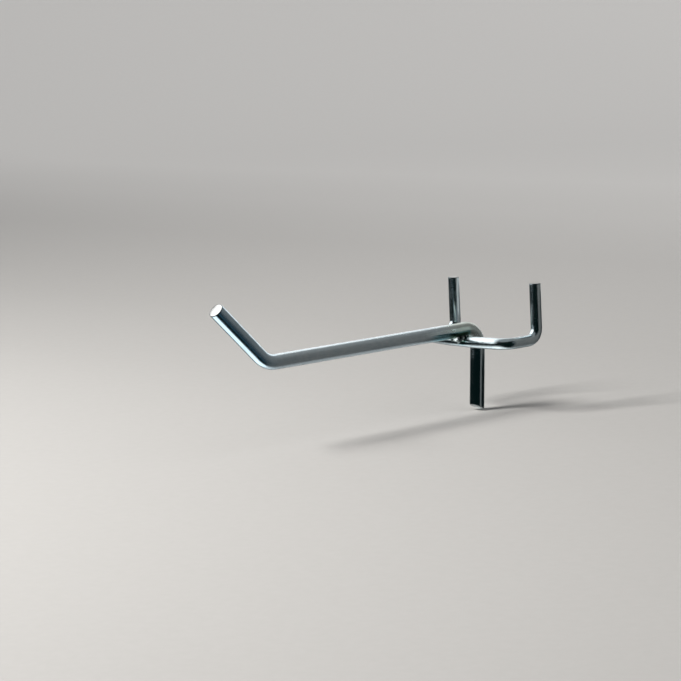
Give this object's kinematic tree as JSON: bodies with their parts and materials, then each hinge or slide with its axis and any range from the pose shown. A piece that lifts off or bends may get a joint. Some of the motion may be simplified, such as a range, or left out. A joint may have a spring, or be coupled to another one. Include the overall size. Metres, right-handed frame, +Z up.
{
  "type": "pegboard hook",
  "caption": "Welded steel wire hook for a perforated panel: a long straight arm with an upturned tip, a steadying leg and a fork that hooks in behind the panel.",
  "frame": {"origin": "on the front face of the panel, midway between the axes of the two prongs", "axes": "+X along the panel, +Y into the panel along the prongs, +Z up along the panel; the arm points along -Y"},
  "size_m": [0.0558, 0.1598, 0.0633],
  "materials": {
    "zinc_wire": "bright zinc plating over drawn wire, faint lengthwise drawing lines",
    "weld_metal": "plated weld flash, rough and pitted"
  },
  "bodies": {
    "root": {"arm_rod": "zinc_wire", "wall_fork": "zinc_wire", "weld_flash": "weld_metal"}
  },
  "joints": []
}
